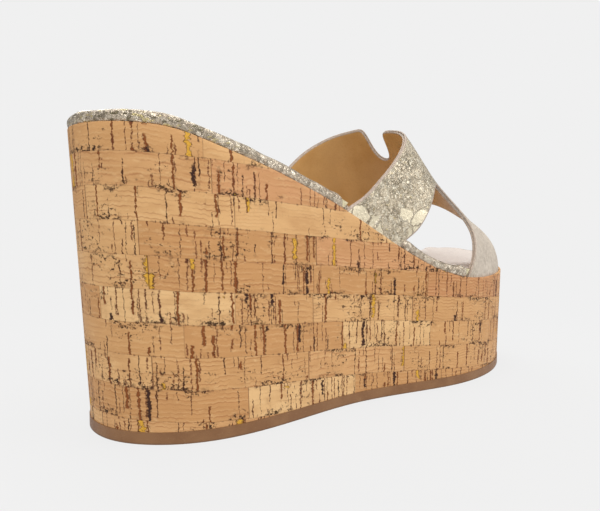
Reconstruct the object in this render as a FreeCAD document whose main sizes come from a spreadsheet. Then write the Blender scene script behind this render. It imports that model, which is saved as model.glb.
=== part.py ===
"""Wedge slide sandal, right foot: a cork-wrapped wedge on a rubber outsole, a padded insole and a cut-out upper.

Frame: +X towards the toe, +Y towards the inner (medial) side of the foot, +Z up, in millimetres.
The origin is on the floor, at the middle of the footprint. Stations along the sandal are shares of the
outsole's length, counted from its heel end. Levels are heights above the footbed line, which is the line
that the cork's upper edge follows.
"""

import FreeCAD, Part
import functools
import math
import os

from FreeCAD import Placement, Rotation, Vector

doc = FreeCAD.newDocument("WedgeSandal")

# ---------------------------------------------------------------- driving dimensions

DIMENSIONS = [
    ("sole_length", 240.0, "outsole, heel end to toe tip"),
    ("ball_half", 43.3, "half of the outsole's width at the ball"),
    ("sole_thick", 4.5, "outsole thickness"),
    ("toe_spring", 4.0, "rise of the sole at the toe tip"),
    ("spring_start", 0.80, "station where the sole leaves the floor"),
    ("groove_depth", 1.2, "tread groove depth"),
    ("groove_width", 3.0, "tread groove width"),
    ("groove_pitch", 11.0, "tread groove spacing"),
    ("cork_thick", 1.0, "cork sheet round the wedge"),
    ("seat_height", 111.0, "footbed line at the heel seat"),
    ("ball_height", 52.6, "footbed line at the ball"),
    ("tip_height", 57.5, "footbed line at the toe tip"),
    ("heel_lean", 6.8, "how far the heel wall leans back over the full wall height"),
    ("toe_lean", 2.0, "how far the toe wall leans out over the full wall height"),
    ("wall_top", 120.0, "height that the leaning walls are drawn to"),
    ("sole_ahead", 2.4, "the outsole's middle lies this far ahead of the whole sandal's middle"),
    ("recess", 3.0, "step between the cork's edge and the core's top"),
    ("fit_gap", 0.05, "clearance between parts that are glued together"),
    ("cover_thick", 0.8, "insole cover leather"),
    ("board_thick", 1.2, "insole board"),
    ("insole_thick", 5.0, "whole insole, board to cover"),
    ("insole_inset", 0.6, "insole rim inside the cork's outer face"),
    ("back_pocket", 3.4, "depth of the insole's pockets for the back legs, from the cork's face"),
    ("front_pocket", 4.8, "depth of the insole's pockets for the front legs, from the cork's face"),
    ("wrap_width", 12.0, "width of the cover's turned-under edge"),
    ("outer_thick", 0.9, "upper's outer leather"),
    ("inter_thick", 0.4, "upper's reinforcement layer"),
    ("lining_thick", 0.8, "upper's lining leather"),
    ("lasting_width", 13.0, "upper's turned-in margin under the insole"),
    ("shank_width", 12.0, "steel shank width"),
    ("shank_back", 0.21, "station of the shank's heel end"),
    ("shank_front", 0.63, "station of the shank's toe end"),
    ("shank_thick", 1.2, "steel shank thickness"),
    ("nail_length", 22.0, "heel nail length"),
    ("nail_radius", 1.1, "heel nail shaft radius"),
    ("nail_head_radius", 2.6, "heel nail head radius"),
    ("rivet_radius", 1.6, "shank rivet shaft radius"),
    ("rivet_head_radius", 3.2, "shank rivet head radius"),
    ("tack_radius", 0.6, "lasting tack shaft radius"),
    ("tack_head_radius", 1.6, "lasting tack head radius"),
    ("head_thick", 0.5, "thickness of nail, rivet and tack heads"),
    ("head_sink", 0.2, "how deep the heads are pressed in"),
    ("joint_gap", 0.3, "butt joint in the cork sheet"),
]

sheet = doc.addObject("Spreadsheet::Sheet", "Dims")
for row, (alias, value, note) in enumerate(DIMENSIONS, 1):
    sheet.set(f"A{row}", alias)
    sheet.set(f"B{row}", str(value))
    sheet.set(f"C{row}", note)
    sheet.setAlias(f"B{row}", alias)
doc.recompute()


def dim(alias):
    return float(sheet.get(alias))


LENGTH = dim("sole_length")
BIG = 200.0  # reaches past the sandal in every direction

# ---------------------------------------------------------------- lines of the last

# Outsole outline: (station, share of the ball's half-width), heel to toe.
OUTER_SIDE = [
    (0.03, 0.485), (0.10, 0.774), (0.28, 0.862), (0.44, 0.805),
    (0.58, 0.915), (0.70, 1.0), (0.82, 0.905), (0.93, 0.60),
]
INNER_SIDE = [
    (0.03, 0.46), (0.10, 0.716), (0.25, 0.70), (0.42, 0.665),
    (0.57, 0.83), (0.71, 1.0), (0.84, 0.945), (0.94, 0.70),
]
TOE_TIP = 0.12  # the toe tip lies this share of the ball's half-width to the inner side

# Footbed line: (station, share of the way from the ball's height up to the heel seat's).
FOOTBED = [
    (-0.04, 1.05), (0.08, 0.995), (0.19, 0.872), (0.30, 0.725), (0.42, 0.528),
    (0.54, 0.262), (0.65, 0.062), (0.75, 0.0), (0.87, 0.015),
]
FOOTBED_END = 1.04  # station where the footbed line reaches the toe tip's height

# Top line of the upper over the ridge of the foot: (station, height).
RIDGE = [
    (0.34, 188.0), (0.49, 161.0), (0.625, 130.8), (0.675, 115.6), (0.755, 99.6), (0.835, 87.8),
    (0.90, 83.6), (0.98, 79.5),
]
RIDGE_SIDE = 4.0  # the ridge lies this far to the inner side
ARCH_POWER = 2.4  # superellipse power of the upper's cross-sections


def at(station):
    """X of a station."""
    return (station - 0.5) * LENGTH + dim("sole_ahead")


def through(points, closed=False):
    """A smooth curve through points."""
    curve = Part.BSplineCurve()
    curve.interpolate(points, PeriodicFlag=closed)
    return curve


def height_on(curve, x):
    """Height of a curve in the XZ plane at x, found by halving, because x only grows along it."""
    low, high = curve.FirstParameter, curve.LastParameter
    for _ in range(50):
        middle = (low + high) / 2
        low, high = (middle, high) if curve.value(middle).x < x else (low, middle)
    return curve.value((low + high) / 2).z


def footbed_curve(level=0.0):
    """The footbed line moved up by level, in the XZ plane."""
    rise = dim("seat_height") - dim("ball_height")
    points = [Vector(at(s), 0, dim("ball_height") + share * rise + level) for s, share in FOOTBED]
    points.append(Vector(at(FOOTBED_END), 0, dim("tip_height") + level))
    return through(points)


FOOTBED_LINE = footbed_curve()
RIDGE_LINE = through([Vector(at(s), 0, z) for s, z in RIDGE])


def outline(z, inset=0.0):
    """The wall's outline at height z, inset along its own normal."""
    share_up = (z - dim("sole_thick")) / (dim("wall_top") - dim("sole_thick"))
    half = dim("ball_half")
    ring = [(0.0, 0.0)]
    ring += [(s, -w) for s, w in OUTER_SIDE]
    ring += [(1.0, TOE_TIP)]
    ring += [(s, w) for s, w in reversed(INNER_SIDE)]
    points = []
    for station, width in ring:
        lean = (dim("toe_lean") + dim("heel_lean")) * station - dim("heel_lean")
        widen = 1 + share_up * (0.055 + 0.05 * station)
        points.append(Vector(at(station) + share_up * lean, width * half * widen, 0))
    curve = through(points, closed=True)
    if inset:
        moved = []
        for point in points:
            along = curve.tangent(curve.parameter(point))[0]
            outward = Vector(along.y, -along.x, 0)
            moved.append(point - outward * inset)
        curve = through(moved, closed=True)
    return curve


@functools.lru_cache(maxsize=None)
def half_width(x, z, side):
    """Distance from the XZ plane to the wall at x and height z; side is -1 outer or +1 inner."""
    ring = outline(z).discretize(Number=360)
    best = 0.0
    for a, b in zip(ring, ring[1:] + ring[:1]):
        if (a.x - x) * (b.x - x) <= 0 and a.x != b.x:
            y = a.y + (b.y - a.y) * (x - a.x) / (b.x - a.x)
            best = max(best, side * y)
    return best


# ---------------------------------------------------------------- document helpers

XZ = Placement(Vector(0, 0, 0), Rotation(Vector(1, 0, 0), 90))  # sketch x is X, sketch y is Z


def sketch(name, curves, placement):
    """A sketch that holds curves, given in its own plane."""
    made = doc.addObject("Sketcher::SketchObject", name)
    for curve in curves:
        made.addGeometry(curve, False)
    made.Placement = placement
    return made


def flat(curve):
    """A curve of the XZ plane as a curve of a sketch's own plane."""
    moved = curve.copy()
    moved.rotate(Placement(Vector(0, 0, 0), Rotation(Vector(1, 0, 0), -90)))
    return moved


def line(x0, y0, x1, y1):
    return Part.LineSegment(Vector(x0, y0, 0), Vector(x1, y1, 0))


def cut(name, base, tool):
    made = doc.addObject("Part::Cut", name)
    made.Base, made.Tool = base, tool
    return made


def common(name, *shapes):
    made = doc.addObject("Part::MultiCommon", name)
    made.Shapes = list(shapes)
    return made


def fuse(name, *shapes):
    made = doc.addObject("Part::MultiFuse", name)
    made.Shapes = list(shapes)
    return made


@functools.lru_cache(maxsize=None)
def wall(inset):
    """The solid inside the leaning wall, inset from the cork's outer face."""
    name = f"wall_{inset * 100:.0f}"
    low, high = -1.0, dim("wall_top")
    ends = [
        sketch(f"{name}_{end}", [outline(z, inset)], Placement(Vector(0, 0, z), Rotation()))
        for end, z in (("foot", low), ("head", high))
    ]
    made = doc.addObject("Part::Loft", name)
    made.Sections, made.Solid, made.Ruled = ends, True, True
    return made


def across(name, curves):
    """A closed side-view outline, drawn right across the sandal."""
    made = doc.addObject("Part::Extrusion", name)
    made.Base = sketch(f"{name}_side", curves, XZ)
    made.DirMode, made.Dir, made.Solid, made.Symmetric = "Custom", Vector(0, 1, 0), True, True
    made.LengthFwd = BIG
    return made


def layer(name, low, high):
    """The space between two levels of the footbed line."""
    bottom, top = flat(footbed_curve(low)), flat(footbed_curve(high))
    b0, b1 = bottom.value(bottom.FirstParameter), bottom.value(bottom.LastParameter)
    t0, t1 = top.value(top.FirstParameter), top.value(top.LastParameter)
    return across(name, [bottom, line(b1.x, b1.y, t1.x, t1.y), top, line(t0.x, t0.y, b0.x, b0.y)])


def space_over_footbed(name, level):
    """Everything above a level of the footbed line."""
    low = flat(footbed_curve(level))
    b0, b1 = low.value(low.FirstParameter), low.value(low.LastParameter)
    return across(name, [
        low, line(b1.x, b1.y, b1.x, BIG + 20), line(b1.x, BIG + 20, b0.x, BIG + 20),
        line(b0.x, BIG + 20, b0.x, b0.y),
    ])


def sole_line(level):
    """The sole's side line at a level above the tread: flat, then an arc up to the toe."""
    start, run = at(dim("spring_start")), (1.0 - dim("spring_start")) * LENGTH
    rise = dim("toe_spring")
    radius = (run * run + rise * rise) / (2 * rise)

    def on_arc(x):
        return level + radius - math.sqrt(radius * radius - (x - start) ** 2)

    end = at(1.03)
    ahead = Part.Arc(
        Vector(start, level, 0),
        Vector((start + end) / 2, on_arc((start + end) / 2), 0),
        Vector(end, on_arc(end), 0),
    )
    return line(at(-0.06), level, start, level), ahead, Vector(end, on_arc(end), 0)


# ---------------------------------------------------------------- outsole


def body_sketch(body, name, plane_role, curves):
    """A sketch on one of a body's own origin planes."""
    plane = [f for f in body.Origin.OriginFeatures if f.Role == plane_role][0]
    made = body.newObject("Sketcher::SketchObject", name)
    made.AttachmentSupport = (plane, [""])
    made.MapMode = "FlatFace"
    for curve in curves:
        made.addGeometry(curve, False)
    return made


def rectangle(x0, y0, x1, y1):
    return [line(x0, y0, x1, y0), line(x1, y0, x1, y1), line(x1, y1, x0, y1), line(x0, y1, x0, y0)]


def tread_grooves(body, name, first_station, half_length, count):
    """A row of cross grooves in the tread, which stop short of the sole's edge."""
    x, half = at(first_station), dim("groove_width") / 2
    drawn = body_sketch(
        body, f"{name}_outline", "XY_Plane",
        rectangle(x - half, -half_length, x + half, half_length),
    )
    doc.recompute()
    pocket = body.newObject("PartDesign::Pocket", name)
    pocket.Profile, pocket.Reversed = drawn, True
    pocket.setExpression("Length", "Dims.groove_depth")
    doc.recompute()
    row = body.newObject("PartDesign::LinearPattern", f"{name}_row")
    row.Originals = [pocket]
    row.Direction = (drawn, ["H_Axis"])
    row.Occurrences = count
    row.setExpression("Length", f"Dims.groove_pitch * {count - 1}")
    body.Tip = row
    doc.recompute()


def make_outsole():
    body = doc.addObject("PartDesign::Body", "outsole")
    plan = body_sketch(body, "sole_outline", "XY_Plane", [outline(dim("sole_thick"), -0.3)])
    pad = body.newObject("PartDesign::Pad", "sole_pad")
    pad.Profile = plan
    pad.setExpression("Length", "Dims.sole_thick + Dims.toe_spring + 2")
    doc.recompute()
    tread, tread_arc, tread_end = sole_line(0.0)
    top, top_arc, top_end = sole_line(dim("sole_thick"))
    back = at(-0.06)
    under = [tread, tread_arc, line(tread_end.x, tread_end.y, tread_end.x, -5),
             line(tread_end.x, -5, back, -5), line(back, -5, back, 0)]
    over = [top, top_arc, line(top_end.x, top_end.y, top_end.x, 20),
            line(top_end.x, 20, back, 20), line(back, 20, back, dim("sole_thick"))]
    trim = body_sketch(body, "sole_side_view", "XZ_Plane", under + over)
    doc.recompute()
    pocket = body.newObject("PartDesign::Pocket", "sole_profile")
    pocket.Profile, pocket.Type, pocket.Midplane = trim, "ThroughAll", True
    doc.recompute()
    tread_grooves(body, "heel_groove", 0.09, 19.0, 5)
    tread_grooves(body, "ball_groove", 0.54, 27.0, 7)
    return body


# ---------------------------------------------------------------- wedge and cork


def space_under_footbed(name, level):
    """From the outsole's top up to a level of the footbed line."""
    low, low_arc, low_end = sole_line(dim("sole_thick"))
    top = flat(footbed_curve(level))
    t0, t1 = top.value(top.FirstParameter), top.value(top.LastParameter)
    back = at(-0.06)
    return across(name, [
        low, low_arc, line(low_end.x, low_end.y, t1.x, t1.y), top,
        line(t0.x, t0.y, back, dim("sole_thick")),
    ])


def make_cork(outer_wall, core_wall):
    """The cork sheet stands round the core, with one butt joint at the inner side's waist."""
    ring = cut("cork_ring", outer_wall, core_wall)
    trimmed = common("cork_trimmed", ring, space_under_footbed("cork_height", 0.0))
    joint = doc.addObject("Part::Box", "cork_joint")
    joint.setExpression("Length", "Dims.joint_gap")
    joint.Width, joint.Height = 60.0, BIG
    joint.Placement.Base = Vector(at(0.40), 12.0, -1.0)
    return cut("cork_wrap", trimmed, joint)


# ---------------------------------------------------------------- upper


def arch_section(x, inset):
    """The upper's cross-section at x: a superellipse arch from wall to wall, closed below the footbed."""
    footbed = height_on(FOOTBED_LINE, x)
    base = footbed - dim("recess")
    top = height_on(RIDGE_LINE, x)
    indoors = dim("cork_thick") + dim("fit_gap")
    reach = {side: half_width(x, footbed, side) - indoors - side * RIDGE_SIDE for side in (-1, 1)}
    points = []
    for step in range(17):
        angle = math.pi * step / 16
        side = -1 if step < 8 else 1
        out = abs(math.cos(angle)) ** (2 / ARCH_POWER)
        up = math.sin(angle) ** (2 / ARCH_POWER)
        # The leather is measured square to its face, which slopes at the ridge.
        slanted = inset * (1 + 0.4 * up * up)
        y = RIDGE_SIDE + side * (reach[side] - inset) * out
        points.append(Vector(y, base + (top - slanted - base) * up, 0))
    first, last = points[0], points[-1]
    low = base - 8.0
    return sketch(
        f"arch_{inset:g}_{x:.0f}".replace(".", "_").replace("-", "m"),
        [
            through(points),
            line(last.x, last.y, last.x, low),
            line(last.x, low, first.x, low),
            line(first.x, low, first.x, first.y),
        ],
        Placement(Vector(x, 0, 0), Rotation(Vector(1, 1, 1), 120)),
    )


ARCH_STATIONS = [0.345, 0.42, 0.49, 0.56, 0.625, 0.69, 0.755, 0.83, 0.895, 0.95]


def arch_loft(name, inset):
    """The solid under the upper, inset from its outer face."""
    made = doc.addObject("Part::Loft", name)
    made.Sections = [arch_section(at(s), inset) for s in ARCH_STATIONS]
    made.Solid = True
    return made


def arch(name, inset):
    """The arch with its underside inset as well, at the level of the turned-in margins."""
    level = dim("fit_gap") - dim("recess") + inset
    return common(name, arch_loft(f"{name}_loft", inset), space_over_footbed(f"{name}_floor", level))


def prism(name, points, placement, direction, closed=True):
    """A smooth closed outline through points of a tilted plane, drawn out along direction."""
    edges = [through([Vector(x, y, 0) for x, y in points], closed=closed)]
    if not closed:
        (x0, y0), (x1, y1) = points[0], points[-1]
        edges.append(line(x1, y1, x0, y0))
    made = doc.addObject("Part::Extrusion", name)
    made.Base = sketch(f"{name}_outline", edges, placement)
    made.DirMode, made.Dir, made.Solid = "Custom", direction, True
    made.LengthFwd = BIG
    return made


def side_tool(name, side, points):
    """A cutter for one side of the upper, square to its shoulder. Points are (station, distance up the
    shoulder plane), which leans 45 degrees and passes through the floor's middle line."""
    outward = Vector(0, side, 1)
    placed = Placement(Vector(0, 0, 0), Rotation(Vector(1, 0, 0), 45 if side < 0 else 135))
    return prism(name, [(at(s), up) for s, up in points], placed, outward)


# Side openings between the back and front legs: (station, distance up the shoulder plane).
OUTER_OPENING = [
    (0.515, 8), (0.541, 22.5), (0.572, 25.5), (0.597, 29.5), (0.616, 34), (0.636, 40), (0.652, 44.5),
    (0.672, 47.3), (0.697, 46.3), (0.720, 43.8), (0.742, 40), (0.758, 35), (0.764, 28), (0.757, 21),
    (0.745, 15), (0.729, 10), (0.705, 4), (0.66, -8), (0.57, -10),
]
INNER_OPENING = [
    (0.505, 8), (0.530, 23.5), (0.565, 28.5), (0.605, 32), (0.645, 34), (0.685, 34.5), (0.722, 32),
    (0.742, 25), (0.745, 17), (0.733, 10), (0.708, 4), (0.66, -8), (0.57, -10),
]


# Back edges of the upper in side view, from the footbed up to the notch: (station, height).
OUTER_BACK = [
    (0.385, 80.0), (0.413, 86.4), (0.447, 91.0), (0.487, 98.8), (0.525, 106.9), (0.560, 114.8),
    (0.590, 121.4), (0.615, 126.5), (0.630, 129.5),
]
INNER_BACK = [
    (0.36, 81.0), (0.385, 88.5), (0.43, 101.0), (0.475, 111.3), (0.51, 118.4), (0.553, 125.0),
    (0.590, 129.6), (0.63, 133.0),
]


def back_tool(name, side, points):
    """Removes all behind one side's back edge."""
    curve = [(at(s), z) for s, z in points]
    edges = [through([Vector(x, z, 0) for x, z in curve])]
    (x0, z0), (x1, z1) = curve[0], curve[-1]
    corners = [(x1, z1), (x1, BIG + 20), (x0 - 60, BIG + 20), (x0 - 60, z0 - 20), (x0, z0 - 20), (x0, z0)]
    edges += [line(*a, *b) for a, b in zip(corners, corners[1:])]
    made = doc.addObject("Part::Extrusion", name)
    made.Base = sketch(f"{name}_side", edges, Placement(Vector(0, RIDGE_SIDE, 0), XZ.Rotation))
    made.DirMode, made.Dir, made.Solid = "Custom", Vector(0, side, 0), True
    made.LengthFwd = BIG
    return made


# The notch in the middle of the back edge and the wide opening over the toes, in plan: (station, Y).
NOTCH = [
    (0.55, -9.0), (0.600, -6.8), (0.620, -4.6), (0.643, -3.3), (0.660, -2.6), (0.670, -0.5), (0.673, 2.4),
    (0.670, 5.4), (0.660, 7.6), (0.640, 8.4), (0.622, 9.0), (0.605, 10.4), (0.55, 14.0),
]
TOE_OPENING = [
    (1.03, -56.0), (0.970, -46.0), (0.938, -39.0), (0.885, -31.0), (0.835, -23.0), (0.806, -14.0),
    (0.793, -5.0), (0.797, 4.0), (0.815, 13.0), (0.843, 23.0), (0.872, 33.0), (0.905, 42.0),
    (0.945, 51.0), (1.05, 62.0),
]


def upper_cutters():
    """Everything that is cut out of the upper's arch."""
    up = Vector(0, 0, 1)
    floor = Placement()
    return fuse(
        "upper_cutters",
        prism("notch_tool", [(at(s), y) for s, y in NOTCH], floor, up, closed=False),
        prism("toe_tool", [(at(s), y) for s, y in TOE_OPENING], floor, up, closed=False),
        side_tool("outer_opening", -1, OUTER_OPENING),
        side_tool("inner_opening", 1, INNER_OPENING),
        back_tool("outer_back", -1, OUTER_BACK),
        back_tool("inner_back", 1, INNER_BACK),
        common(
            "lasting_window",
            wall(dim("cork_thick") + dim("lasting_width")),
            layer("lasting_depth", -dim("recess") - 1, 0.0),
        ),
    )


def between(name, outer, inner, cutters):
    """One layer of the upper: what lies between two arches, cut to the pattern."""
    return cut(name, cut(f"{name}_shell", outer, inner), cutters)


# ---------------------------------------------------------------- fasteners


def on_footbed(station, y, level):
    """A placement on the footbed at a level, square to it."""
    x = at(station)
    slope = (height_on(FOOTBED_LINE, x + 1) - height_on(FOOTBED_LINE, x - 1)) / 2
    tilt = math.degrees(math.atan(-slope))
    base = Vector(x, y, height_on(FOOTBED_LINE, x) + level)
    return Placement(base, Rotation(Vector(0, 1, 0), tilt))


def pin(name, place, radius, low, height):
    """A cylinder from low up its placement's own axis. Sizes are expressions on the sheet."""
    made = doc.addObject("Part::Cylinder", name)
    made.setExpression("Radius", radius)
    made.setExpression("Height", height)
    made.Placement = place.multiply(Placement(Vector(0, 0, low), Rotation()))
    return made


def make_nails():
    """Five nails through the insole board into the wedge, at the seat."""
    pins = []
    sink = dim("head_sink")
    spots = [(0.055, 0.0), (0.095, -14.0), (0.095, 14.0), (0.16, -12.0), (0.16, 12.0)]
    for index, (station, y) in enumerate(spots):
        place = on_footbed(station, y, dim("board_thick"))
        shaft = -dim("nail_length")
        pins.append(pin(f"nail_shaft{index}", place, "Dims.nail_radius", shaft, "Dims.nail_length"))
        pins.append(pin(f"nail_head{index}", place, "Dims.nail_head_radius", -sink, "Dims.head_thick"))
    return fuse("heel_nails", *pins)


def make_rivets():
    """Two rivets through the shank and the board."""
    pins = []
    thick = dim("shank_thick") + dim("board_thick")
    sink = dim("head_sink")
    for index, station in enumerate((dim("shank_back") + 0.03, dim("shank_front") - 0.03)):
        place = on_footbed(station, 0.0, dim("board_thick"))
        square = place.Rotation.multVec(Vector(0, 0, 1)).z
        foot = -thick * square
        head = "Dims.head_thick"
        low = foot + sink - dim("head_thick")
        pins.append(pin(f"rivet_foot{index}", place, "Dims.rivet_head_radius", low, head))
        pins.append(pin(f"rivet_head{index}", place, "Dims.rivet_head_radius", -sink, head))
        pins.append(pin(f"rivet_shaft{index}", place, "Dims.rivet_radius", foot, f"{-foot}"))
    return fuse("shank_rivets", *pins)


def make_tacks():
    """Three tacks in each turned-in margin, driven up into the board."""
    pins = []
    rows = [(-1, (0.42, 0.465, 0.51)), (-1, (0.77, 0.81, 0.85)),
            (1, (0.40, 0.45, 0.50)), (1, (0.77, 0.82, 0.86))]
    for row, (side, stations) in enumerate(rows):
        for index, station in enumerate(stations):
            footbed = height_on(FOOTBED_LINE, at(station))
            y = side * (half_width(at(station), footbed, side) - 8.0)
            place = on_footbed(station, y, dim("fit_gap") - dim("recess"))
            key = f"{row}{index}"
            low = dim("head_sink") - dim("head_thick")
            pins.append(pin(f"tack_head{key}", place, "Dims.tack_head_radius", low, "Dims.head_thick"))
            pins.append(pin(f"tack_shaft{key}", place, "Dims.tack_radius", 0.0,
                            "Dims.recess + Dims.board_thick * 0.5"))
    return fuse("strap_tacks", *pins)


# ---------------------------------------------------------------- insole and its fittings


def slab(name, inset, low, high):
    """The part of the wall's inside between two levels of the footbed line."""
    return common(name, wall(inset), layer(f"{name}_depth", low, high))


# Side views of the insole's pockets for the legs: station at the footbed's level 0 and at its top,
# first for the pocket's back edge and then for its front edge.
BACK_POCKETS = [(-1, (0.385, 0.425, 0.578, 0.520)), (1, (0.360, 0.392, 0.572, 0.512))]
FRONT_POCKETS = [(-1, (0.700, 0.735, 0.968, 0.950)), (1, (0.703, 0.738, 0.955, 0.940))]


def pocket_row(name, pockets, inset, grow):
    """Two pockets, one on each side, that reach in from the wall to an inset."""
    blocks = []
    for side, (back_low, back_high, front_high, front_low) in pockets:
        corners = []
        for station, level, way in ((back_low, -4, -1), (back_high, 8, -1), (front_high, 8, 1), (front_low, -4, 1)):
            x = at(station)
            corners.append((x + way * grow, height_on(FOOTBED_LINE, x) + level))
        corners.append(corners[0])
        block = doc.addObject("Part::Extrusion", f"{name}_{'outer' if side < 0 else 'inner'}")
        block.Base = sketch(f"{block.Name}_side", [line(*a, *b) for a, b in zip(corners, corners[1:])], XZ)
        block.DirMode, block.Dir, block.Solid = "Custom", Vector(0, side, 0), True
        block.LengthFwd = BIG
        blocks.append(block)
    return cut(name, fuse(f"{name}_blocks", *blocks), wall(inset + grow))


def leg_pockets(name, grow):
    """All four pockets, grown by the thickness of what lines them."""
    back = pocket_row(f"{name}_back", BACK_POCKETS, dim("back_pocket"), grow)
    front = pocket_row(f"{name}_front", FRONT_POCKETS, dim("front_pocket"), grow)
    return fuse(name, back, front)


def make_shank():
    strip = doc.addObject("Part::Box", "shank_strip")
    strip.setExpression("Length", "(Dims.shank_front - Dims.shank_back) * Dims.sole_length")
    strip.setExpression("Width", "Dims.shank_width")
    strip.Height = BIG
    strip.Placement.Base = Vector(at(dim("shank_back")), -dim("shank_width") / 2, 0)
    return common("shank_blank", strip, layer("shank_depth", -dim("shank_thick"), 0.0))


# ---------------------------------------------------------------- the assembly

cork_thick, recess, gap = dim("cork_thick"), dim("recess"), dim("fit_gap")
board_top = dim("board_thick")
insole_top = dim("insole_thick")
pad_top = insole_top - dim("cover_thick")
cover_thick, cover_inset = dim("cover_thick"), dim("insole_inset")
pad_inset = cover_inset + cover_thick

outer_wall, core_wall = wall(0.0), wall(cork_thick)
outsole = make_outsole()
cork = make_cork(outer_wall, core_wall)

cutters = upper_cutters()
depths = [
    0.0,
    dim("outer_thick"),
    dim("outer_thick") + dim("inter_thick"),
    dim("outer_thick") + dim("inter_thick") + dim("lining_thick"),
]
arches = [arch(f"arch{i}", depth) for i, depth in enumerate(depths)]
leg_room = leg_pockets("leg_room", 0.0)
leg_room_deep = leg_pockets("leg_room_deep", cover_thick)

nails, rivets, tacks = make_nails(), make_rivets(), make_tacks()
shank_blank = make_shank()

core_blank = common("core_blank", core_wall, space_under_footbed("core_height", -recess))
core_fasteners = fuse("core_fasteners", nails, tacks)
core = cut("wedge_core", core_blank, core_fasteners)

filler_blank = slab("filler_blank", cork_thick + dim("lasting_width") + 1.0, gap - recess, 0.0)
filler = cut("bottom_filler", filler_blank, fuse("filler_room", shank_blank, rivets, nails))
shank = cut("shank", shank_blank, rivets)

board_blank = slab("board_blank", pad_inset, 0.0, board_top)
board_pocketed = cut("board_pocketed", board_blank, leg_room_deep)
board = cut("insole_board", board_pocketed, fuse("board_fasteners", rivets, nails, tacks))
pad_blank = slab("pad_blank", pad_inset, board_top, pad_top)
pad_pocketed = cut("pad_pocketed", pad_blank, leg_room_deep)
pad = cut("foam_pad", pad_pocketed, fuse("pad_fasteners", rivets, nails))

cover_blank = fuse(
    "cover_blank",
    slab("cover_over", cover_inset, 0.0, insole_top),
    slab("cover_under", cork_thick + gap, -cover_thick, 0.0),
)
cover_fill = cut("cover_fill", slab("cover_fill_whole", pad_inset, 0.0, pad_top), leg_room_deep)
cover_window = slab("cover_window", cover_inset + dim("wrap_width"), -cover_thick - 1, 0.5)
cover_hollow = cut("cover_hollow", cover_blank, cover_fill)
cover_open = cut("cover_open", cover_hollow, cover_window)
cover_pocketed = cut("cover_pocketed", cover_open, leg_room)
cover = cut("insole_cover", cover_pocketed, tacks)

layers = []
for index, name in enumerate(("upper_outer", "upper_interlining", "upper_lining")):
    uncut = between(f"{name}_blank", arches[index], arches[index + 1], cutters)
    layers.append(cut(name, uncut, tacks))

nodes = [outsole, cork, core, filler, shank, rivets, board, pad, cover, *layers, nails, tacks]
doc.recompute()

bad = [o.Name for o in doc.Objects if "Invalid" in o.State or "Error" in o.State]
if bad:
    raise RuntimeError("not recomputed: " + ", ".join(bad))
os.makedirs("parts", exist_ok=True)
for node in nodes:
    node.Label = node.Name
    shape = node.Shape
    if shape.isNull() or not shape.isValid():
        raise RuntimeError("not valid: " + node.Name)
    shape.exportStep(f"parts/{node.Label}.step")
    print(node.Label, len(shape.Solids), round(shape.Volume / 1000, 3), shape.BoundBox)
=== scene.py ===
import bmesh
import bpy
import math
import numpy as np
from mathutils import Matrix, Vector, geometry


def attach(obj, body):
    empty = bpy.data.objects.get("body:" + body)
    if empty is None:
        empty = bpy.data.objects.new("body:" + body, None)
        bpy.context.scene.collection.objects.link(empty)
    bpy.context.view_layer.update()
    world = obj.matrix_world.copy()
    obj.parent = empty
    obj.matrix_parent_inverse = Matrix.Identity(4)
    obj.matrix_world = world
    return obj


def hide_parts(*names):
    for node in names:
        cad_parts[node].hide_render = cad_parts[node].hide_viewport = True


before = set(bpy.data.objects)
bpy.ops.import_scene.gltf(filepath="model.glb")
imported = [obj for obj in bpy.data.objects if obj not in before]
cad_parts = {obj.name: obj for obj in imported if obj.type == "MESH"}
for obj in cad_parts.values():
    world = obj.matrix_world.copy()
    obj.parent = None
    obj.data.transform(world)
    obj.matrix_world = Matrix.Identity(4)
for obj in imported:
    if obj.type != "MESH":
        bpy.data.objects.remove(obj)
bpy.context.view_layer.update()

rng = np.random.default_rng(7)

# ---- lines of the last, in millimetres

LENGTH = 240.0  # the sole's length, which stations 0 to 1 divide
AHEAD = 2.4  # the middle station lies this far ahead of the origin
BALL_HALF = 43.3  # half the sole's width at the ball
SOLE_THICK = 4.5
TOE_SPRING = 4.0  # the sole's tip clears the floor by this much
SPRING_START = 0.80  # station where the sole leaves the floor
SEAT, BALL, TIP = 111.0, 52.6, 57.5  # height of the last's line at the seat, the ball and the toe tip
BED_END = 1.04  # station where the last's line reaches the toe tip's height
WALL_TOP = 120.0
HEEL_LEAN, TOE_LEAN = 6.8, 2.0  # the wall leans out this much by the height of WALL_TOP
FLARE, TOE_FLARE = 0.055, 0.05  # the wall widens by this share up to WALL_TOP, and more towards the toe
HEEL_SWELL = 1.7  # the cork and its rim stand this much over the last's line round the heel
SWELL_START, SWELL_FULL = 0.155, 0.05  # stations where that swelling starts and is whole
RIDGE_SIDE = 4.0  # the upper's ridge lies this far to the inner side
ARCH_POWER = 2.4  # superellipse power of the upper's cross-sections
RECESS = 3.0  # the upper's arch springs from this far under the cork's edge
LEG_INSET = 1.05  # the upper's outer face stands this far in from the wall
OUTER, INTER, LINING = 0.9, 0.4, 0.8  # thickness of the upper's three layers
COLUMNS = 720  # points once round the wall
CURVE_POINTS = 1500
RING_FLOOR = -1.0  # height of the lower of the two outlines that the wall is drawn between
FIRST_GUESS, GUESSES = 80.0, 6  # start and rounds of the search for the wall's height at a level

# Station and half-width as a share of BALL_HALF.
OUTER_SIDE = [
    (0.03, 0.485), (0.10, 0.774), (0.28, 0.862), (0.44, 0.805),
    (0.58, 0.915), (0.70, 1.0), (0.82, 0.905), (0.93, 0.60),
]
INNER_SIDE = [
    (0.03, 0.46), (0.10, 0.716), (0.25, 0.70), (0.42, 0.665),
    (0.57, 0.83), (0.71, 1.0), (0.84, 0.945), (0.94, 0.70),
]
TOE_TIP = 0.12
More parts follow.
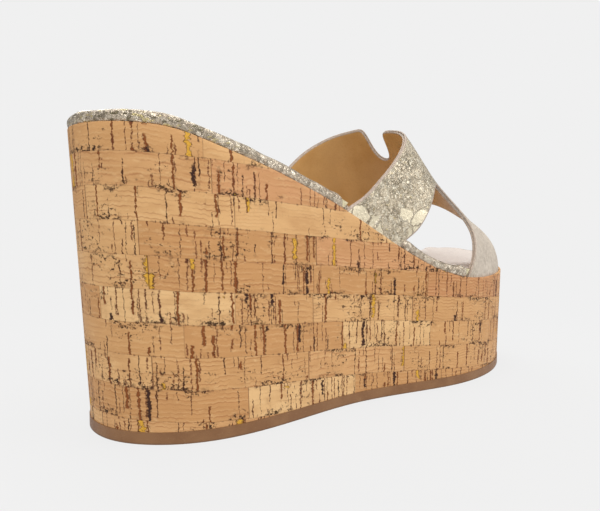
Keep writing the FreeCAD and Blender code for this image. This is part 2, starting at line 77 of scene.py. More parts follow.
# Station and share of the way from BALL up to SEAT.
FOOTBED = [
    (-0.04, 1.05), (0.08, 0.995), (0.19, 0.872), (0.30, 0.725), (0.42, 0.528),
    (0.54, 0.262), (0.65, 0.062), (0.75, 0.0), (0.87, 0.015),
]
# Station and height.
RIDGE = [
    (0.34, 188.0), (0.49, 161.0), (0.625, 130.8), (0.675, 115.6), (0.755, 99.6), (0.835, 87.8),
    (0.90, 83.6), (0.98, 79.5),
]
# Station and place along a line at 45 degrees over the shoulder.
OUTER_OPENING = [
    (0.515, 8), (0.541, 22.5), (0.572, 25.5), (0.597, 29.5), (0.616, 34), (0.636, 40), (0.652, 44.5),
    (0.672, 47.3), (0.697, 46.3), (0.720, 43.8), (0.742, 40), (0.758, 35), (0.764, 28), (0.757, 21),
    (0.745, 15), (0.729, 10), (0.705, 4), (0.66, -8), (0.57, -10),
]
INNER_OPENING = [
    (0.505, 8), (0.530, 23.5), (0.565, 28.5), (0.605, 32), (0.645, 34), (0.685, 34.5), (0.722, 32),
    (0.742, 25), (0.745, 17), (0.733, 10), (0.708, 4), (0.66, -8), (0.57, -10),
]
# Station and height.
OUTER_BACK = [
    (0.385, 80.0), (0.413, 86.4), (0.447, 91.0), (0.487, 98.8), (0.525, 106.9), (0.560, 114.8),
    (0.590, 121.4), (0.615, 126.5), (0.630, 129.5),
]
INNER_BACK = [
    (0.36, 81.0), (0.385, 88.5), (0.43, 101.0), (0.475, 111.3), (0.51, 118.4), (0.553, 125.0),
    (0.590, 129.6), (0.63, 133.0),
]
# Station and Y.
NOTCH = [
    (0.55, -9.0), (0.600, -6.8), (0.620, -4.6), (0.643, -3.3), (0.660, -2.6), (0.670, -0.5), (0.673, 2.4),
    (0.670, 5.4), (0.660, 7.6), (0.640, 8.4), (0.622, 9.0), (0.605, 10.4), (0.55, 14.0),
]
TOE_OPENING = [
    (1.03, -56.0), (0.970, -46.0), (0.938, -39.0), (0.885, -31.0), (0.835, -23.0), (0.806, -14.0),
    (0.793, -5.0), (0.797, 4.0), (0.815, 13.0), (0.843, 23.0), (0.872, 33.0), (0.905, 42.0),
    (0.945, 51.0), (1.05, 62.0),
]


def at(station):
    """X of a station."""
    return (np.asarray(station) - 0.5) * LENGTH + AHEAD


def smooth(points, closed, count):
    """Samples of a cubic spline through points, evenly spread along its chords."""
    p = np.array(points, float)
    if closed:
        p = np.vstack([p, p[:1]])
    t = np.concatenate([[0.0], np.cumsum(np.linalg.norm(np.diff(p, axis=0), axis=1))])
    h = np.diff(t)
    n = len(h)
    a = np.zeros((n + 1, n + 1))
    r = np.zeros((n + 1, p.shape[1]))
    for i in range(1, n):
        a[i, i - 1:i + 2] = h[i - 1], 2 * (h[i - 1] + h[i]), h[i]
        r[i] = 6 * ((p[i + 1] - p[i]) / h[i] - (p[i] - p[i - 1]) / h[i - 1])
    if closed:
        a[0, 0], a[0, n] = 1, -1
        a[n, 0], a[n, 1], a[n, n - 1], a[n, n] = 2 * h[0], h[0], h[n - 1], 2 * h[n - 1]
        r[n] = 6 * ((p[1] - p[0]) / h[0] - (p[n] - p[n - 1]) / h[n - 1])
    else:
        a[0, 0] = a[n, n] = 1
    m = np.linalg.solve(a, r)
    s = np.linspace(0, t[-1], count, endpoint=not closed)
    k = np.clip(np.searchsorted(t, s, side="right") - 1, 0, n - 1)
    u = ((t[k + 1] - s) / h[k])[:, None]
    v = 1 - u
    return u * p[k] + v * p[k + 1] + ((u**3 - u) * m[k] + (v**3 - v) * m[k + 1]) * (h[k]**2)[:, None] / 6


bed_points = [(at(s), BALL + k * (SEAT - BALL)) for s, k in FOOTBED] + [(at(BED_END), TIP)]
bed = smooth(bed_points, False, CURVE_POINTS)
ridge = smooth([(at(s), z) for s, z in RIDGE], False, CURVE_POINTS)


def ease(share):
    """A share of 0 to 1 with a soft start and end."""
    return share * share * (3 - 2 * share)


def footbed(x):
    """Height of the cork's upper edge at x."""
    back = np.clip((at(SWELL_START) - np.asarray(x)) / (at(SWELL_START) - at(SWELL_FULL)), 0, 1)
    return np.interp(x, bed[:, 0], bed[:, 1]) + HEEL_SWELL * ease(back)


def ridge_height(x):
    """Height of the upper's ridge at x."""
    return np.interp(x, ridge[:, 0], ridge[:, 1])


def outline(z):
    """The wall's closed outline at height z."""
    share = (z - SOLE_THICK) / (WALL_TOP - SOLE_THICK)
    ring = [(0.0, 0.0)] + [(s, -w) for s, w in OUTER_SIDE] + [(1.0, TOE_TIP)]
    ring += [(s, w) for s, w in reversed(INNER_SIDE)]
    points = []
    for s, w in ring:
        lean = (TOE_LEAN + HEEL_LEAN) * s - HEEL_LEAN
        widen = 1 + share * (FLARE + TOE_FLARE * s)
        points.append((at(s) + share * lean, w * BALL_HALF * widen))
    return smooth(points, True, COLUMNS)


ring_low, ring_high = outline(RING_FLOOR), outline(WALL_TOP)


def wall_ring(z, inset=0.0):
    """The wall's outline at heights z, one per column, moved in by inset along its own normal."""
    share = ((np.broadcast_to(z, COLUMNS) - RING_FLOOR) / (WALL_TOP - RING_FLOOR))[:, None]
    p = ring_low * (1 - share) + ring_high * share
    along = np.roll(p, -1, axis=0) - np.roll(p, 1, axis=0)
    along /= np.linalg.norm(along, axis=1)[:, None]
    outward = np.stack([along[:, 1], -along[:, 0]], 1)
    return p - outward * np.broadcast_to(inset, COLUMNS)[:, None]


def wall_at_level(level, inset=0.0):
    """Points of the wall where it meets a level over the footbed line."""
    z = np.full(COLUMNS, FIRST_GUESS)
    for _ in range(GUESSES):
        p = wall_ring(z, inset)
        z = footbed(p[:, 0]) + level
    return np.column_stack([p, z])


def sole_rise(x):
    """How far the sole has sprung off the floor at x."""
    start, run = at(SPRING_START), (1 - SPRING_START) * LENGTH
    radius = (run * run + TOE_SPRING**2) / (2 * TOE_SPRING)
    beyond = np.clip(x - start, 0, None)
    return radius - np.sqrt(radius**2 - beyond**2)


def half_width(x, side):
    """Distance from the middle plane to the wall at the footbed line's height."""
    p = wall_at_level(0.0)
    chosen = p[side * p[:, 1] > 0]
    chosen = chosen[np.argsort(chosen[:, 0])]
    return np.interp(x, chosen[:, 0], side * chosen[:, 1])


# ---- meshes


def new_object(name, verts, faces, materials):
    """A mesh object from points in millimetres."""
    mesh = bpy.data.meshes.new(name)
    mesh.from_pydata([tuple(v) for v in np.asarray(verts) * 0.001], [], faces)
    for material in materials:
        mesh.materials.append(material)
    obj = bpy.data.objects.new(name, mesh)
    bpy.context.scene.collection.objects.link(obj)
    mesh.polygons.foreach_set("use_smooth", [True] * len(mesh.polygons))
    mesh.validate()
    return obj


def lathe_faces(rows, columns, first=0):
    """Quads that join rows of points which each go once round."""
    faces = []
    for i in range(rows - 1):
        a, b = first + i * columns, first + (i + 1) * columns
        for j in range(columns):
            k = (j + 1) % columns
            faces.append((a + j, a + k, b + k, b + j))
    return faces


def add_uv(obj, name, coordinates):
    """A UV map with one coordinate per vertex, in metres."""
    layer = obj.data.uv_layers.new(name=name)
    index = np.zeros(len(obj.data.loops), int)
    obj.data.loops.foreach_get("vertex_index", index)
    layer.data.foreach_set("uv", np.asarray(coordinates)[index].ravel())


# ---- shader helpers


def linear(r, g, b):
    """An sRGB colour of 0 to 255 as linear RGBA."""
    out = []
    for c in (r, g, b):
        c /= 255
        out.append(c / 12.92 if c <= 0.04045 else ((c + 0.055) / 1.055) ** 2.4)
    return (*out, 1.0)


class Graph:
    """A node tree and short ways to add nodes to it."""

    def __init__(self, owner):
        owner.use_nodes = True
        self.tree = owner.node_tree
        self.tree.nodes.clear()

    def put(self, socket, value):
        if isinstance(value, bpy.types.NodeSocket):
            self.tree.links.new(value, socket)
        elif value is not None:
            socket.default_value = value

    def node(self, kind, *inputs, **settings):
        """A new node with its settings made and its first inputs filled."""
        node = self.tree.nodes.new(kind)
        for name, value in settings.items():
            setattr(node, name, value)
        for socket, value in zip(node.inputs, inputs):
            self.put(socket, value)
        return node

    def math(self, kind, a, b=None):
        return self.node("ShaderNodeMath", a, b, operation=kind).outputs[0]

    def add(self, a, b):
        return self.math("ADD", a, b)

    def mul(self, a, b):
        return self.math("MULTIPLY", a, b)

    def sub(self, a, b):
        return self.math("SUBTRACT", a, b)

    def div(self, a, b):
        return self.math("DIVIDE", a, b)

    def most(self, a, b):
        return self.math("MAXIMUM", a, b)

    def step(self, value, low, high, to_low=0.0, to_high=1.0):
        """Smooth step of value from low to high."""
        inputs = (value, low, high, to_low, to_high)
        return self.node("ShaderNodeMapRange", *inputs, interpolation_type="SMOOTHSTEP").outputs[0]

    def mix(self, factor, a, b):
        node = self.node("ShaderNodeMix", factor, data_type="RGBA")
        self.put(node.inputs[6], a)
        self.put(node.inputs[7], b)
        return node.outputs[2]

    def ramp(self, factor, stops, kind="LINEAR"):
        node = self.node("ShaderNodeValToRGB", factor)
        ramp = node.color_ramp
        ramp.interpolation = kind
        while len(ramp.elements) < len(stops):
            ramp.elements.new(0.5)
        for element, (position, colour) in zip(ramp.elements, stops):
            element.position = position
            element.color = colour
        return node.outputs[0]

    def split(self, vector):
        return tuple(self.node("ShaderNodeSeparateXYZ", vector).outputs)

    def join(self, x, y, z=0.0):
        return self.node("ShaderNodeCombineXYZ", x, y, z).outputs[0]

    def scaled(self, vector, x, y, z):
        return self.node("ShaderNodeVectorMath", vector, (x, y, z), operation="MULTIPLY").outputs[0]

    def moved(self, vector, by):
        return self.node("ShaderNodeVectorMath", vector, by, operation="ADD").outputs[0]

    def noise(self, vector, scale, detail=2.0, rough=0.5, colour=False):
        node = self.node("ShaderNodeTexNoise", vector)
        for name, value in (("Scale", scale), ("Detail", detail), ("Roughness", rough)):
            node.inputs[name].default_value = value
        return node.outputs[1 if colour else 0]

    def stretched(self, vector, x, y, z, detail=2.0, rough=0.5):
        """Noise with its own scale along each axis."""
        return self.noise(self.scaled(vector, x, y, z), 1.0, detail, rough)

    def cells(self, vector, scale, feature="F1", random=1.0, line=False):
        """Voronoi cells: (distance, random colour). A line takes a number in place of a vector."""
        node = self.node("ShaderNodeTexVoronoi", feature=feature, voronoi_dimensions="1D" if line else "3D")
        self.put(node.inputs["W" if line else "Vector"], vector)
        node.inputs["Scale"].default_value = scale
        node.inputs["Randomness"].default_value = random
        return node.outputs["Distance"], None if feature == "DISTANCE_TO_EDGE" else node.outputs["Color"]

    def hash(self, value):
        node = self.node("ShaderNodeTexWhiteNoise", noise_dimensions="1D")
        self.put(node.inputs["W"], value)
        return node.outputs["Value"]

    def uv(self, name):
        return self.node("ShaderNodeUVMap", uv_map=name).outputs[0]

    def place(self, stretch=(1, 1, 1)):
        """Position on the object in millimetres."""
        metres = self.node("ShaderNodeTexCoord").outputs["Object"]
        return self.scaled(metres, *(1000 * s for s in stretch))

    def bump(self, height, distance):
        node = self.node("ShaderNodeBump")
        node.inputs["Distance"].default_value = distance
        self.put(node.inputs["Height"], height)
        return node.outputs[0]


class Surface(Graph):
    """The graph of a new material with one principled shader."""

    def __init__(self, name):
        self.material = bpy.data.materials.new(name)
        super().__init__(self.material)
        output = self.node("ShaderNodeOutputMaterial")
        self.shader = self.node("ShaderNodeBsdfPrincipled")
        self.put(output.inputs[0], self.shader.outputs[0])

    def finish(self, colour, roughness, metallic=0.0, normal=None, **fixed):
        self.put(self.shader.inputs["Base Color"], colour)
        self.put(self.shader.inputs["Roughness"], roughness)
        self.put(self.shader.inputs["Metallic"], metallic)
        self.put(self.shader.inputs["Normal"], normal)
        for name, value in fixed.items():
            self.shader.inputs[name.replace("_", " ")].default_value = value
        return self.material


# ---- cork

STRIP = 11.9  # height of one strip of cork, in millimetres
STRIP_LENGTH = 58.0  # mean length of one strip
STRIP_TILT = 0.082  # the strips fall this much towards the toe


def cork_material():
    """Pieced cork veneer, drawn on the sheet's own length and height."""
    g = Surface("cork_veneer")
    u, v, _ = g.split(g.scaled(g.uv("wrap"), 1000, 1000, 0))
    flat = g.join(u, v)
    v = g.add(v, g.mul(g.sub(g.stretched(flat, 0.05, 0.02, 0), 0.5), 1.4))
    row = g.math("FLOOR", g.div(v, STRIP))
    part = g.math("FRACT", g.div(v, STRIP))
    row_hash = g.hash(row)

    # Strips of random length along each row.
    along = g.add(g.div(u, STRIP_LENGTH), g.add(g.mul(row, 17.3), g.mul(row_hash, 5.0)))
    _, strip_colour = g.cells(along, 1.0, random=0.85, line=True)
    strip_edge, _ = g.cells(along, 1.0, "DISTANCE_TO_EDGE", 0.85, True)
    r1, r2, r3 = g.split(strip_colour)
    base = g.ramp(r1, [
        (0.0, linear(218, 172, 118)), (0.16, linear(206, 157, 104)), (0.34, linear(209, 160, 108)),
        (0.52, linear(198, 147, 95)), (0.66, linear(205, 151, 104)), (0.82, linear(226, 184, 130)),
        (0.93, linear(194, 138, 92)),
    ], "CONSTANT")

    # Cloudy tone inside a strip. Each strip has its own piece of the noise.
    own = g.moved(flat, g.join(g.mul(r2, 900.0), g.mul(row, 37.0), g.mul(r3, 50.0)))
    cloud = g.stretched(own, 0.07, 0.16, 1, 3.0, 0.55)
    colour = g.mix(g.step(cloud, 0.35, 0.75, 0.0, 0.55), base, linear(186, 136, 86))
    pale = g.stretched(own, 0.22, 0.5, 1, 3.0, 0.6)
    colour = g.mix(g.step(pale, 0.55, 0.8, 0.0, 0.5), colour, linear(228, 190, 138))

    # Growth lines: thin, wavy, nearly level.
    wave = g.stretched(own, 0.10, 0.05, 1, 2.0, 0.5)
    jag = g.stretched(own, 0.55, 0.12, 1, 2.0, 0.6)
    lifted = g.add(v, g.add(g.mul(wave, 3.4), g.mul(jag, 1.5)))
    spacing = g.step(r2, 0.0, 1.0, 1.3, 2.7)
    phase = g.math("FRACT", g.div(lifted, spacing))
    line = g.step(g.math("ABSOLUTE", g.sub(phase, 0.5)), 0.02, 0.21, 1.0, 0.0)
    fade = g.step(g.stretched(own, 0.08, 0.45, 1, 2.0), 0.36, 0.64)
    line = g.mul(g.mul(line, fade), g.step(r3, 0.1, 0.8, 0.35, 1.0))
    colour = g.mix(g.mul(line, 0.5), colour, linear(150, 90, 52))
    beside = g.step(g.math("ABSOLUTE", g.sub(phase, 0.85)), 0.02, 0.2, 0.28, 0.0)
    colour = g.mix(g.mul(beside, fade), colour, linear(224, 186, 136))

    # Lenticels: upright dark streaks, crowded in some strips and patches.
    crowd = g.stretched(own, 0.045, 0.05, 1, 2.0, 0.5)
    crowding = g.add(g.step(crowd, 0.40, 0.66, -0.16, 0.50), g.step(r1, 0.0, 1.0, -0.04, 0.24))
    sway = g.mul(g.sub(g.stretched(own, 0.22, 0.36, 1, 3.0, 0.7), 0.5), 2.2)
    ragged = g.mul(g.sub(g.stretched(own, 1.6, 1.1, 1, 2.0, 0.7), 0.5), 0.9)
    beads = g.step(g.stretched(own, 0.5, 0.8, 1, 3.0, 0.75), 0.32, 0.68, 0.35, 1.75)

    def streaks(pitch, offset, width_low, width_high, density, reach_low):
        """Upright streaks: (mask, distance over width, random)."""
        across = g.add(g.div(g.add(u, g.add(sway, ragged)), pitch), g.add(g.mul(row, 31.7), offset))
        distance, colours = g.cells(across, 1.0, random=1.0, line=True)
        a, b, c = g.split(colours)
        # Most streaks are slim and a few are broad.
        width = g.mul(g.step(g.mul(b, b), 0.0, 1.0, width_low, width_high), beads)
        ratio = g.div(g.mul(distance, pitch), width)
        body = g.step(ratio, 0.60, 1.10, 1.0, 0.0)
        there = g.step(g.sub(g.add(crowding, density), a), 0.0, 0.04)
        # A streak starts at the strip's upper or lower joint, or floats between.
        centre = g.step(c, 0.2, 0.8, 0.05, 0.95)
        reach = g.step(g.math("FRACT", g.mul(c, 7.3)), 0.0, 1.0, reach_low, 1.0)
        inside = g.step(g.sub(g.math("ABSOLUTE", g.sub(part, centre)), reach), -0.03, 0.04, 1.0, 0.0)
        return g.mul(g.mul(body, there), inside), ratio, b

    fine, _, fine_random = streaks(2.3, 0.0, 0.16, 0.34, 0.30, 0.15)
    long, long_ratio, long_random = streaks(5.2, 0.37, 0.22, 0.62, 0.42, 0.45)
    broken = g.step(g.stretched(own, 0.9, 0.8, 1, 3.0, 0.7), 0.36, 0.50)
    fine = g.mul(fine, broken)
    halo = g.stretched(own, 0.6, 0.5, 1, 3.0, 0.6)
    smear = g.mul(g.step(long_ratio, 1.0, 3.2, 0.55, 0.0), g.step(halo, 0.45, 0.7))
    colour = g.mix(g.mul(smear, g.step(crowding, 0.0, 0.5)), colour, linear(140, 100, 66))
    rust = g.mix(long_random, linear(54, 24, 16), linear(104, 50, 22))
    heart = g.step(long_ratio, 0.3, 0.75, 0.55, 0.0)
    colour = g.mix(g.mul(long, 0.95), colour, rust)
    colour = g.mix(g.mul(g.mul(long, heart), g.step(long_random, 0.35, 0.6)), colour, linear(150, 86, 38))
    bark = g.mix(fine_random, linear(62, 30, 20), linear(112, 60, 34))
    colour = g.mix(g.mul(fine, 0.9), colour, bark)

    # Wide lenticels: brown rims, mustard dust or dark bark inside.
    wide, wide_ratio, wide_random = streaks(13.0, 0.71, 0.7, 1.7, 0.08, 0.14)
    core = g.step(wide_ratio, 0.50, 0.78, 1.0, 0.0)
    dust = g.mix(g.step(wide_random, 0.40, 0.44), linear(60, 36, 28), linear(214, 162, 60))
    flecks = g.step(g.stretched(own, 1.3, 1.3, 1, 3.0, 0.7), 0.56, 0.64)
    dust = g.mix(g.mul(flecks, 0.75), dust, linear(92, 56, 26))
    colour = g.mix(wide, colour, linear(70, 36, 20))
    colour = g.mix(g.mul(wide, core), colour, dust)

    # Bark specks and blots.
    near = g.math("MINIMUM", part, g.sub(1.0, part))
    edge_room = g.step(near, 0.02, 0.26, 0.075, 0.0)
    loose = g.moved(flat, g.join(g.mul(r3, 40.0), 0.0, 0.0))
    region = g.stretched(loose, 0.055, 0.10, 1, 2.0)
    speck = g.add(g.stretched(flat, 0.62, 0.70, 1, 5.0, 0.74), edge_room)
    blot = g.mul(g.step(speck, 0.565, 0.605), g.step(region, 0.53, 0.62))
    pith = g.mul(g.step(speck, 0.62, 0.66), g.step(region, 0.54, 0.62))
    colour = g.mix(g.mul(blot, 0.9), colour, linear(74, 42, 26))
    colour = g.mix(g.mul(pith, 0.9), colour, linear(40, 28, 20))
    olive = g.mul(g.mul(g.step(speck, 0.69, 0.72), g.step(region, 0.54, 0.62)), g.step(r2, 0.3, 0.5))
    colour = g.mix(g.mul(olive, 0.8), colour, linear(196, 150, 56))
    dots = g.step(g.stretched(own, 2.2, 1.9, 1, 2.0, 0.6), 0.69, 0.75)
    colour = g.mix(g.mul(dots, 0.75), colour, linear(104, 62, 38))

    # Joints between strips: hairlines, dark in places where the edge crumbled.
    crumble = g.stretched(flat, 0.42, 0.05, 0, 4.0, 0.75)
    joint_width = g.step(crumble, 0.52, 0.74, 0.016, 0.085)
    joint = g.step(g.div(near, joint_width), 0.4, 1.0, 1.0, 0.0)
    joint = g.mul(joint, g.step(crumble, 0.50, 0.66, 0.22, 1.0))
    from_end = g.mul(strip_edge, STRIP_LENGTH)
    butt = g.mul(g.step(from_end, 0.10, 0.34, 1.0, 0.0), g.step(r3, 0.3, 0.7, 0.25, 0.8))
    seam = g.most(joint, butt)
    colour = g.mix(g.mul(seam, 0.82), colour, linear(84, 46, 28))

    pits = g.most(g.most(g.mul(long, 0.8), g.mul(fine, 0.5)), g.mul(wide, 0.9))
    pits = g.most(g.most(pits, blot), g.mul(seam, 0.7))
    grain = g.stretched(own, 1.2, 2.4, 1, 4.0, 0.6)
    height = g.sub(g.sub(g.mul(grain, 0.30), g.mul(pits, 0.9)), g.mul(line, 0.06))
    height = g.add(height, g.mul(r3, 0.30))
    rough = g.step(grain, 0.3, 0.7, 0.50, 0.64)
    rough = g.add(rough, g.mul(pits, 0.2))
    return g.finish(colour, rough, normal=g.bump(height, 0.00018), Specular_IOR_Level=0.22)


CORK_STEPS = 40  # rows of faces up the sheet
BUTT_JOINT = 0.40  # station on the inner side where the sheet's ends meet
# Level over the cork's edge and distance in from its face, up and over the lip.
CORK_LIP = [
    (-0.25, 0.0), (-0.06, 0.08), (0.0, 0.25), (0.0, 0.75), (-0.06, 0.92), (-0.25, 1.0), (-2.8, 1.0),
]


def build_cork():
    """The cork sheet: outer face, a rounded top lip, and the strip of inner face behind the lip."""
    rows = []
    top = wall_at_level(0.0)
    bottom_z = SOLE_THICK + sole_rise(top[:, 0])
    for i in range(CORK_STEPS + 1):
        share = i / CORK_STEPS
        z = bottom_z * (1 - share) + (top[:, 2] + CORK_LIP[0][0]) * share
        rows.append(np.column_stack([wall_ring(z), z]))
    for level, inset in CORK_LIP[1:]:
        rows.append(wall_at_level(level, inset))
    points = np.vstack(rows)
    middle = rows[CORK_STEPS // 2]
    lap = np.linalg.norm(np.diff(np.vstack([middle, middle[:1]])[:, :2], axis=0), axis=1)
    u = np.concatenate([[0.0], np.cumsum(lap)])[:-1]
    # The sheet's ends meet on the inner side, so the count starts there.
    start = np.argmin(np.abs(middle[:, 0] - at(BUTT_JOINT)) + 1000 * (middle[:, 1] < 0))
    u = (u - u[start]) % lap.sum()
    uv = [np.column_stack([u, row[:, 2] + STRIP_TILT * row[:, 0]]) for row in rows]
    faces = lathe_faces(len(rows), COLUMNS)
    obj = new_object("cork_sheet", points, faces, [cork_material()])
    add_uv(obj, "wrap", np.vstack(uv) * 0.001)
    mend_wrap_seam(obj, lap.sum() * 0.001)
    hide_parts("cork_wrap")
    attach(obj, "root")


def mend_wrap_seam(obj, total):
    """Faces across the butt joint carry on the count instead of jumping back to zero."""
    layer = obj.data.uv_layers["wrap"].data
    for polygon in obj.data.polygons:
        us = [layer[i].uv.x for i in polygon.loop_indices]
        if max(us) - min(us) > total / 2:
            for i in polygon.loop_indices:
                if layer[i].uv.x < total / 2:
                    layer[i].uv.x += total


# ---- leather and other materials


def foil_material():
    """Champagne foil leather. The foil has cracked into scales and lies whole in a few large flakes."""
    g = Surface("foil_leather")
    p = g.place()
    x, _, z = g.split(p)
    warp = g.scaled(g.noise(p, 0.30, 3.0, 0.65, colour=True), 3.2, 3.2, 3.2)
    q = g.moved(p, warp)
    flake_edge, _ = g.cells(q, 0.11, "DISTANCE_TO_EDGE")
    _, flake_colour = g.cells(q, 0.11)
    flake_random, _, _ = g.split(flake_colour)
    low = g.step(g.add(z, g.mul(x, 0.25)), 84.0, 100.0, 0.42, 0.0)
    flake = g.mul(g.step(g.add(flake_random, low), 1.02, 1.04), g.step(flake_edge, 0.035, 0.075))
    mid, _ = g.cells(q, 0.75, "DISTANCE_TO_EDGE")
    _, facet = g.cells(q, 0.75)
    facet_r, facet_g, facet_b = g.split(facet)
    tiny, _ = g.cells(q, 1.7, "DISTANCE_TO_EDGE")
    region = g.noise(p, 0.085, 3.0, 0.55)
    busy = g.step(region, 0.36, 0.60)
    calm = g.sub(1.0, flake)
    crack = g.mul(g.step(mid, 0.02, 0.10, 1.0, 0.0), g.step(facet_g, 0.25, 0.6))
    hair = g.mul(g.step(tiny, 0.03, 0.12, 0.8, 0.0), g.step(g.noise(p, 0.5, 3.0, 0.6), 0.42, 0.6))
    crack = g.mul(g.mul(g.most(crack, hair), calm), g.add(g.mul(busy, 0.75), 0.25))
    rim = g.mul(g.step(flake_edge, 0.012, 0.05, 0.9, 0.0), g.step(flake_random, 0.55, 0.9))
    crack = g.most(crack, rim)
    crumple = g.noise(q, 0.8, 4.0, 0.7)
    colour = g.mix(g.step(crumple, 0.36, 0.66), linear(226, 212, 186), linear(176, 160, 136))
    colour = g.mix(g.mul(g.step(facet_r, 0.55, 0.9), 0.7), colour, linear(228, 219, 197))
    colour = g.mix(g.mul(g.step(facet_b, 0.74, 0.92), g.mul(busy, 0.75)), colour, linear(124, 110, 84))
    gold = g.mul(g.step(g.noise(q, 0.95, 3.0, 0.6), 0.60, 0.70), 0.7)
    colour = g.mix(gold, colour, linear(206, 186, 124))
    # Painted highlights: small near-white sparkles stand in for light caught by the foil.
    painted_sparkle = g.step(g.noise(q, 1.25, 3.0, 0.7), 0.60, 0.66)
    colour = g.mix(g.mul(painted_sparkle, 0.8), colour, linear(240, 233, 214))
    colour = g.mix(flake, colour, linear(226, 214, 186))
    colour = g.mix(g.mul(crack, 0.72), colour, linear(112, 99, 78))
    soft = g.mix(g.step(g.noise(p, 0.5, 4.0, 0.7), 0.35, 0.65), linear(206, 194, 180), linear(186, 173, 158))
    toe = g.step(x, 46.0, 66.0, 0.0, 0.88)
    colour = g.mix(toe, colour, soft)
    foil = g.mul(g.sub(1.0, crack), g.sub(1.0, g.mul(toe, 0.85)))
    metal = g.mul(foil, 0.58)
    rough = g.step(foil, 0.0, 1.0, 0.62, 0.30)
    rough = g.add(rough, g.mul(g.sub(crumple, 0.5), 0.25))
    wrinkle = g.noise(q, 0.55, 4.0, 0.65)
    height = g.add(g.mul(wrinkle, 0.8), g.mul(g.math("MINIMUM", mid, 0.14), 1.6))
    height = g.add(g.sub(height, g.mul(crack, 0.5)), g.mul(facet_r, 0.25))
    height = g.mul(g.mul(height, g.sub(1.0, g.mul(toe, 0.75))), g.sub(1.0, g.mul(flake, 0.7)))
    return g.finish(colour, rough, metal, g.bump(height, 0.00042), Specular_IOR_Level=0.45)


def insole_material():
    """The same leather on the insole: foil round the rim, soft pale grain where the foot rests."""
    g = Surface("insole_leather")
    p = g.place()
    x, _, _ = g.split(p)
    inner = g.split(g.uv("rim"))[0]
    on_top = g.step(inner, 0.0046, 0.0085)
    warp = g.scaled(g.noise(p, 0.30, 3.0, 0.6, colour=True), 2.8, 2.8, 2.8)
    q = g.moved(p, warp)
    mid, _ = g.cells(q, 0.6, "DISTANCE_TO_EDGE")
    tiny, _ = g.cells(q, 1.5, "DISTANCE_TO_EDGE")
    _, facet = g.cells(q, 0.6)
    facet_r, facet_g, facet_b = g.split(facet)
    patch = g.step(g.noise(p, 0.09, 2.0, 0.5), 0.52, 0.58)
    crack = g.mul(g.step(mid, 0.02, 0.09, 0.9, 0.0), g.step(facet_g, 0.2, 0.6))
    crack = g.most(crack, g.mul(g.step(tiny, 0.02, 0.10, 0.6, 0.0), g.sub(1.0, patch)))
    silver = g.mix(facet_r, linear(234, 221, 200), linear(180, 163, 142))
    silver = g.mix(g.step(facet_b, 0.72, 0.9, 0.0, 0.8), silver, linear(148, 136, 118))
    # Painted reflections round the heel: dark olive and gold patches on the rim's foil stand in for what it
    # mirrors.
    heel = g.step(x, -60.0, -95.0)
    painted_reflection = g.stretched(p, 0.30, 0.30, 0.9, 3.0, 0.6)
    silver = g.mix(g.mul(g.step(painted_reflection, 0.56, 0.62), g.mul(heel, 0.85)), silver, linear(96, 88, 58))
    silver = g.mix(g.mul(g.step(painted_reflection, 0.44, 0.38), g.mul(heel, 0.8)), silver, linear(208, 190, 128))
    silver = g.mix(g.mul(crack, 0.75), silver, linear(104, 92, 76))
    grain = g.noise(p, 1.6, 4.0, 0.65)
    pale = g.mix(g.step(grain, 0.35, 0.7), linear(196, 184, 175), linear(210, 199, 190))
    worn_foil = g.step(g.noise(p, 0.22, 4.0, 0.7), 0.55, 0.72, 0.0, 0.35)
    pale = g.mix(worn_foil, pale, linear(218, 208, 196))
    colour = g.mix(on_top, silver, pale)
    foil = g.sub(1.0, crack)
    metal = g.mul(g.mul(foil, 0.72), g.sub(1.0, g.mul(on_top, 0.92)))
    rough = g.add(g.step(foil, 0.0, 1.0, 0.6, 0.15), g.mul(on_top, 0.40))
    wrinkle = g.noise(p, 0.6, 4.0, 0.6)
    height = g.add(g.mul(wrinkle, 0.9), g.mul(g.math("MINIMUM", mid, 0.14), 2.0))
    height = g.mix(on_top, height, g.add(g.mul(grain, 0.28), g.mul(wrinkle, 0.22)))
    return g.finish(colour, rough, metal, g.bump(height, 0.00052), Specular_IOR_Level=0.45)


def lining_material():
    """Tan lining leather with fine pores."""
    g = Surface("lining_leather")
    p = g.place()
    cloud = g.noise(p, 0.06, 3.0, 0.5)
    fine = g.noise(p, 1.3, 3.0, 0.6)
    pores, _ = g.cells(p, 2.2)
    pore = g.step(pores, 0.10, 0.26, 1.0, 0.0)
    colour = g.mix(g.step(cloud, 0.3, 0.7), linear(192, 146, 84), linear(204, 160, 100))
    colour = g.mix(g.step(fine, 0.4, 0.75, 0.0, 0.3), colour, linear(180, 130, 74))
    colour = g.mix(g.mul(pore, 0.35), colour, linear(134, 90, 52))
    height = g.sub(g.mul(fine, 0.6), g.mul(pore, 0.6))
    rough = g.step(fine, 0.3, 0.7, 0.42, 0.56)
    return g.finish(colour, rough, normal=g.bump(height, 0.00012), Specular_IOR_Level=0.4)


def edge_material():
    """Painted cut edges."""
    g = Surface("edge_paint")
    p = g.place()
    tone = g.noise(p, 0.8, 3.0, 0.6)
    colour = g.mix(g.step(tone, 0.35, 0.7), linear(164, 146, 130), linear(190, 172, 156))
    return g.finish(colour, 0.5, normal=g.bump(tone, 0.00012), Specular_IOR_Level=0.4)


